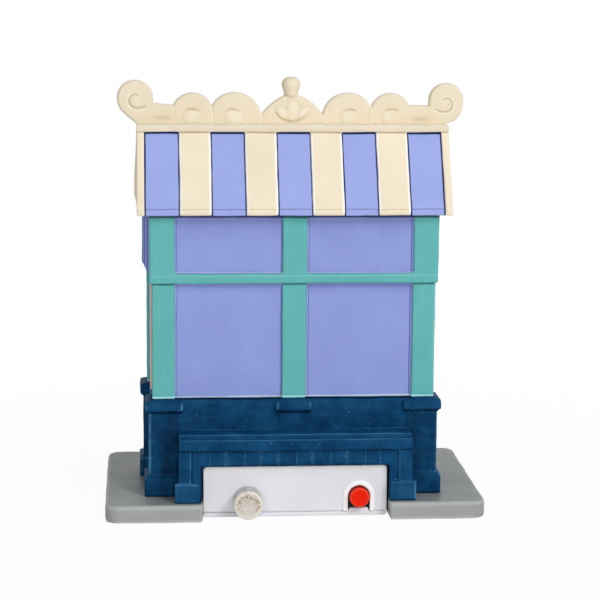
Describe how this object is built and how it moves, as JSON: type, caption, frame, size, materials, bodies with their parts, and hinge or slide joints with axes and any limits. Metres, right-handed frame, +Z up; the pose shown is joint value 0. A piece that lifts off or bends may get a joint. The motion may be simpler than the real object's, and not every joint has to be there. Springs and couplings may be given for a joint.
{
  "type": "ceramic village house",
  "caption": "Painted village house stall on a grey plate, with a striped canopy and scrolled crest, and a battery light and sound module with volume knob and push button at the rear.",
  "frame": {"origin": "centre of the ground plate's underside", "axes": "+Z up; -Y towards the rear service side with the knob and button; +X to the right seen from there"},
  "size_m": [0.1208, 0.0724, 0.1382],
  "materials": {
    "pavement_paint": "satin grey paint on cast ceramic",
    "navy_paint": "satin navy paint on cast ceramic, light dry brush on edges",
    "wall_paint": "satin lavender paint on cast ceramic",
    "teal_paint": "satin teal paint on cast ceramic",
    "pink_paint": "satin pink paint on cast ceramic",
    "dark_red_paint": "satin dark red paint on cast ceramic",
    "cream_paint": "satin cream paint on cast ceramic",
    "stripe_paint": "satin pale lavender paint on cast ceramic",
    "window_sheet": "milky translucent sheet",
    "white_plastic": "moulded white, semi-gloss",
    "knob_plastic": "milky translucent moulding",
    "red_plastic": "moulded red, glossy",
    "black_plastic": "moulded black",
    "board_laminate": "green coated laminate",
    "chip_resin": "black potting resin",
    "plated_steel": "bright plated steel",
    "magnet_ferrite": "dark ferrite",
    "cone_paper": "black pressed paper",
    "cell_wrap": "plain wrapped steel can",
    "led_lens": "clear warm lens",
    "lead_sleeve": "flexible insulated wire"
  },
  "bodies": {
    "house": {"ground_plate": "pavement_paint", "plinth": "navy_paint", "rear_bench": "navy_paint", "wall_shell": "wall_paint", "lower_posts": "teal_paint", "upper_frame": "teal_paint", "front_window_frames": "pink_paint", "front_window_panes": "window_sheet", "side_window_frames": "pink_paint", "side_window_panes": "window_sheet", "side_aprons": "dark_red_paint", "side_hoods": "stripe_paint", "canopy": "cream_paint", "rear_stripes": "stripe_paint", "front_stripes": "stripe_paint", "gable_boards": "cream_paint", "cornice": "cream_paint", "crest": "cream_paint", "finial": "cream_paint", "module_shell": "white_plastic", "module_cover": "white_plastic", "first_cell": "cell_wrap", "second_cell": "cell_wrap", "series_contact": "plated_steel", "terminal_contacts": "plated_steel", "control_board": "board_laminate", "sound_chip": "chip_resin", "capacitor": "black_plastic", "volume_pot": "black_plastic", "power_switch": "black_plastic", "speaker_magnet": "magnet_ferrite", "speaker_basket": "plated_steel", "speaker_cone": "cone_paper", "light_board": "board_laminate", "leds": "led_lens", "light_lead": "lead_sleeve", "speaker_lead": "lead_sleeve", "battery_leads": "lead_sleeve", "module_screws": "plated_steel"},
    "volume": {"volume_knob": "knob_plastic", "volume_shaft": "white_plastic"},
    "button": {"power_button": "red_plastic", "switch_plunger": "white_plastic"},
    "door": {"battery_door": "white_plastic"}
  },
  "joints": [
    {"name": "volume_turn", "type": "hinge", "parent": "house", "child": "volume", "pos_m": [-0.0151, -0.033, 0.0059], "axis": [0, 1, 0], "range_deg": [-150, 150]},
    {"name": "button_press", "type": "slide", "parent": "house", "child": "button", "axis": [0, 1, 0], "range_m": [0, 0.002], "stiffness_N_per_m": 600, "springref_m": -0.001},
    {"name": "door_swing", "type": "hinge", "parent": "house", "child": "door", "pos_m": [0, 0.0062, 0.0003], "axis": [1, 0, 0], "range_deg": [0, 80]}
  ]
}
